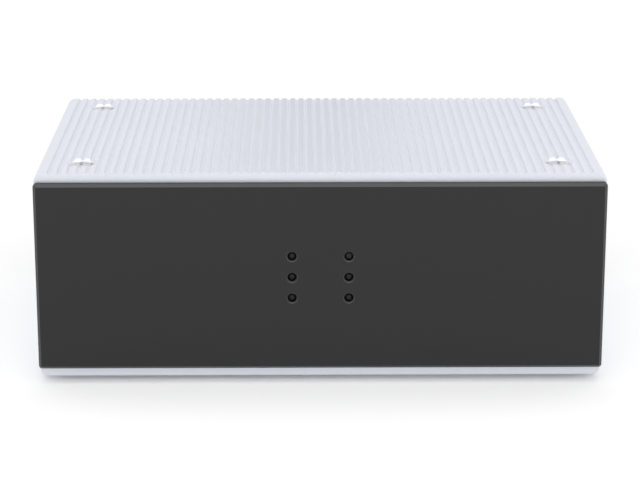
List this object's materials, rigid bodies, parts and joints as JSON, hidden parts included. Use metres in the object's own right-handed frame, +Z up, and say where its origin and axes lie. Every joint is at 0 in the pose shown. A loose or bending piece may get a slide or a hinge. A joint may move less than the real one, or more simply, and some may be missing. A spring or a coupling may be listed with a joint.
{
  "type": "KVM switch",
  "caption": "Desktop KVM switch in a grooved silver aluminium case, with a dark front plate of indicator lights and rear sockets.",
  "frame": {"origin": "centre of the footprint, at the surface that the feet stand on", "axes": "+X to the right seen from the front, +Y towards the back, +Z up"},
  "size_m": [0.2004, 0.128, 0.077],
  "materials": {
    "silver_aluminium": "fine-blasted, clear anodised",
    "dark_plate": "satin, dark grey anodised",
    "dark_panel": "matte black",
    "zinc_steel": "zinc plated",
    "spacer_brass": "turned",
    "pillar_aluminium": "turned",
    "plated_shell": "bright plated",
    "black_plastic": "moulded, fine texture",
    "pale_plastic": "moulded",
    "speaker_plastic": "moulded",
    "microphone_plastic": "moulded",
    "board_laminate": "solder mask",
    "lamp_resin": "tinted clear resin, unlit",
    "foot_rubber": "matte",
    "fuse_glass": "clear, plated caps",
    "wire_cover": "flexible cover"
  },
  "bodies": {
    "case": {"board_headers": "black_plastic", "board_screws": "zinc_steel", "board_spacers": "spacer_brass", "bottom_shell": "silver_aluminium", "capacitors": "black_plastic", "carrier_screws": "zinc_steel", "clamp_screws": "zinc_steel", "control_chips": "black_plastic", "dc_wires": "wire_cover", "earth_wire": "wire_cover", "foot_1": "foot_rubber", "foot_2": "foot_rubber", "foot_3": "foot_rubber", "foot_4": "foot_rubber", "front_carrier": "dark_panel", "front_plate": "dark_plate", "heatsink": "pillar_aluminium", "inlet_housing": "black_plastic", "inlet_pins": "plated_shell", "lamp_1_1": "lamp_resin", "lamp_1_2": "lamp_resin", "lamp_1_3": "lamp_resin", "lamp_2_1": "lamp_resin", "lamp_2_2": "lamp_resin", "lamp_2_3": "lamp_resin", "light_board": "board_laminate", "main_board": "board_laminate", "mains_wires": "wire_cover", "microphone_socket": "microphone_plastic", "panel_screws": "zinc_steel", "pillars": "pillar_aluminium", "port_board": "board_laminate", "rear_panel": "dark_panel", "reset_switch": "black_plastic", "ribbon_cable": "wire_cover", "riser_board": "board_laminate", "speaker_socket": "speaker_plastic", "supply_board": "board_laminate", "switch_housing": "black_plastic", "switch_tabs": "plated_shell", "top_shell": "silver_aluminium", "transformer": "black_plastic", "usb_a_shell": "plated_shell", "usb_a_tongues": "pale_plastic", "usb_b_insert_1": "pale_plastic", "usb_b_insert_2": "pale_plastic", "usb_b_shell_1": "plated_shell", "usb_b_shell_2": "plated_shell", "video_insert_computer_1": "black_plastic", "video_insert_computer_2": "black_plastic", "video_insert_console": "black_plastic", "video_jackscrews": "plated_shell", "video_shell_computer_1": "plated_shell", "video_shell_computer_2": "plated_shell", "video_shell_console": "plated_shell"},
    "rocker": {"rocker": "black_plastic"},
    "fuse_drawer": {"fuse_drawer": "black_plastic", "fuse": "fuse_glass"},
    "reset_cap": {"reset_cap": "black_plastic"}
  },
  "joints": [
    {"name": "rocker_tilt", "type": "hinge", "parent": "case", "child": "rocker", "pos_m": [-0.06265, 0.0568, 0.0573], "axis": [0, 0, 1], "range_deg": [0, 20]},
    {"name": "fuse_drawer_slide", "type": "slide", "parent": "case", "child": "fuse_drawer", "axis": [0, 1, 0], "range_m": [0, 0.015]},
    {"name": "reset_press", "type": "slide", "parent": "case", "child": "reset_cap", "axis": [0, -1, 0], "range_m": [0, 0.0012], "stiffness_N_per_m": 400}
  ]
}
